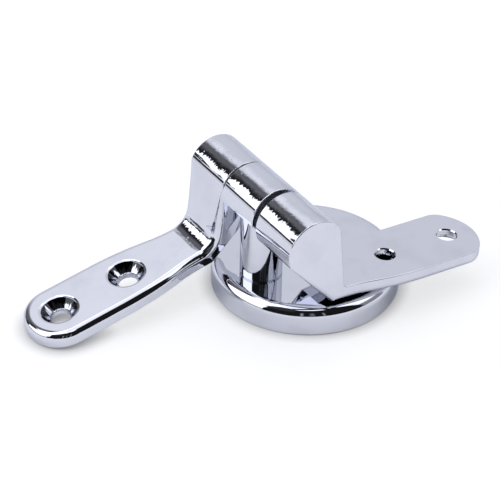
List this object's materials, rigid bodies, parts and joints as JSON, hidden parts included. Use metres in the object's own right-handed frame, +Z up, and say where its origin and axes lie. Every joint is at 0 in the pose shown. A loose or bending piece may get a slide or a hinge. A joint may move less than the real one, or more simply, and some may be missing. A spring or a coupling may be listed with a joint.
{
  "type": "toilet seat hinge",
  "caption": "Chromed cast hinge for a toilet seat and lid: cranked countersunk leaves on one pin, on an off-centre post that swivels on a round flange.",
  "frame": {"origin": "centre of the flange's underside, at the mouth of the threaded hole for the pan bolt", "axes": "+Z up from the pan, X along the hinge pin, +Y to the side that the lid leaf lies back to"},
  "size_m": [0.052, 0.1165, 0.0373],
  "materials": {
    "chrome": "bright plating over a smooth casting",
    "steel": "plain turned steel",
    "bush_plastic": "dark matt moulding",
    "gasket_rubber": "matt soft ring"
  },
  "bodies": {
    "base": {"base_flange": "chrome", "base_gasket": "gasket_rubber"},
    "swivel_post": {"post": "chrome", "post_screw": "steel", "post_washer": "steel", "hinge_pin": "steel"},
    "lid_side": {"lid_leaf": "chrome", "lid_bush": "bush_plastic"},
    "seat_side": {"seat_leaf": "chrome", "seat_bush": "bush_plastic"}
  },
  "joints": [
    {"name": "post_swivel", "type": "hinge", "parent": "base", "child": "swivel_post", "pos_m": [0, 0.0141, 0.0079], "axis": [0, 0, 1], "range_deg": [-40, 40]},
    {"name": "lid_hinge", "type": "hinge", "parent": "swivel_post", "child": "lid_side", "pos_m": [0, 0.0141, 0.0293], "axis": [1, 0, 0], "range_deg": [0, 205]},
    {"name": "seat_hinge", "type": "hinge", "parent": "swivel_post", "child": "seat_side", "pos_m": [0, 0.0141, 0.0293], "axis": [-1, 0, 0], "range_deg": [0, 225]}
  ]
}
